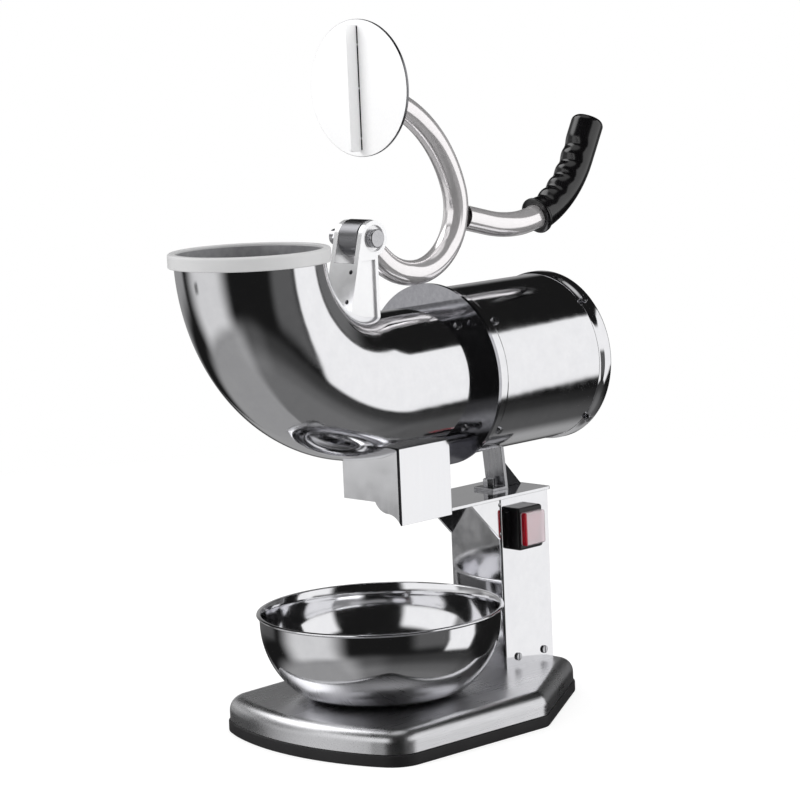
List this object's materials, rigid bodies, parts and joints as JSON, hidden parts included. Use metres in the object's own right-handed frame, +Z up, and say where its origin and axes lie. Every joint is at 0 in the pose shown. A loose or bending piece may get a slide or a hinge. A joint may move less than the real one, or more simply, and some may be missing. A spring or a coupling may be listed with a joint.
{
  "type": "ice shaver",
  "caption": "Table-top electric ice shaver: a lever swings a round press disc down a bent feed tube on to spinning blades above a bowl.",
  "frame": {"origin": "centre of the flat underside of the base", "axes": "+Z up, feed mouth towards -Y, motor along +Y, switch on the +X side"},
  "size_m": [0.172, 0.3672, 0.4458],
  "materials": {
    "polished_steel": "mirror-polished stainless sheet",
    "brushed_steel": "brushed stainless sheet",
    "screw_steel": "bright turned steel",
    "zinc_steel": "zinc-plated steel",
    "dark_steel": "blackened steel",
    "cast_aluminium": "cast aluminium",
    "stator_iron": "stacked electrical sheet",
    "copper_wire": "enamelled copper wire",
    "black_rubber": "satin moulded rubber",
    "black_grip": "glossy moulded vinyl",
    "black_plastic": "satin moulded plastic",
    "grey_plastic": "satin moulded plastic",
    "white_plastic": "smooth plastic can",
    "red_plastic": "glossy moulded plastic",
    "clear_plastic": "clear moulded plastic"
  },
  "bodies": {
    "machine": {"base_shell": "brushed_steel", "base_tray": "black_rubber", "base_standoffs": "zinc_steel", "base_screws": "zinc_steel", "column_shell": "polished_steel", "column_cover": "brushed_steel", "column_feet": "zinc_steel", "column_screws": "screw_steel", "foot_bolts": "zinc_steel", "top_plate": "polished_steel", "gussets": "polished_steel", "gusset_tacks": "screw_steel", "neck_bracket": "brushed_steel", "neck_rib": "brushed_steel", "neck_bolt": "screw_steel", "hex_nuts": "zinc_steel", "switch_housing": "black_plastic", "switch_gasket": "clear_plastic", "switch_cap": "clear_plastic", "run_capacitor": "white_plastic", "capacitor_clip": "zinc_steel", "cable_gland": "black_plastic", "gland_nut": "black_plastic", "front_flange": "polished_steel", "motor_shell": "polished_steel", "motor_screws": "screw_steel", "rear_cap": "polished_steel", "stator_core": "stator_iron", "stator_windings": "copper_wire", "rear_shield": "cast_aluminium", "tie_bolts": "zinc_steel", "bearing_outer_rings": "screw_steel", "bearing_balls": "screw_steel", "feed_tube": "polished_steel", "mouth_ring": "grey_plastic", "ice_chute": "polished_steel", "lever_bracket": "polished_steel", "bracket_rivets": "dark_steel", "pivot_bolt": "screw_steel", "pivot_nut": "screw_steel"},
    "rotor": {"motor_shaft": "screw_steel", "rotor_core": "stator_iron", "cooling_fan": "black_plastic", "blade_carrier": "cast_aluminium", "blades": "brushed_steel", "blade_screws": "screw_steel", "nose_nut": "screw_steel", "bearing_inner_rings": "screw_steel"},
    "lever": {"lever_hub": "polished_steel", "lever_arm": "polished_steel", "handle_tube": "polished_steel", "hand_grip": "black_grip", "disc_boss": "polished_steel", "press_disc": "polished_steel", "disc_screws": "screw_steel", "disc_fin": "polished_steel"},
    "rocker": {"switch_rocker": "red_plastic"},
    "bowl": {"bowl": "polished_steel"}
  },
  "joints": [
    {"name": "lever_swing", "type": "hinge", "parent": "machine", "child": "lever", "pos_m": [0, -0.032, 0.3115], "axis": [1, 0, 0], "range_deg": [0, 170]},
    {"name": "rotor_spin", "type": "hinge", "parent": "machine", "child": "rotor", "pos_m": [0, 0, 0.2185], "axis": [0, 1, 0], "continuous": true},
    {"name": "rocker_tilt", "type": "hinge", "parent": "machine", "child": "rocker", "pos_m": [0.02795, 0.08, 0.1138], "axis": [0, -1, 0], "range_deg": [0, 16]},
    {"name": "bowl_lift", "type": "slide", "parent": "machine", "child": "bowl", "axis": [0, 0, 1], "range_m": [0, 0.04]}
  ]
}
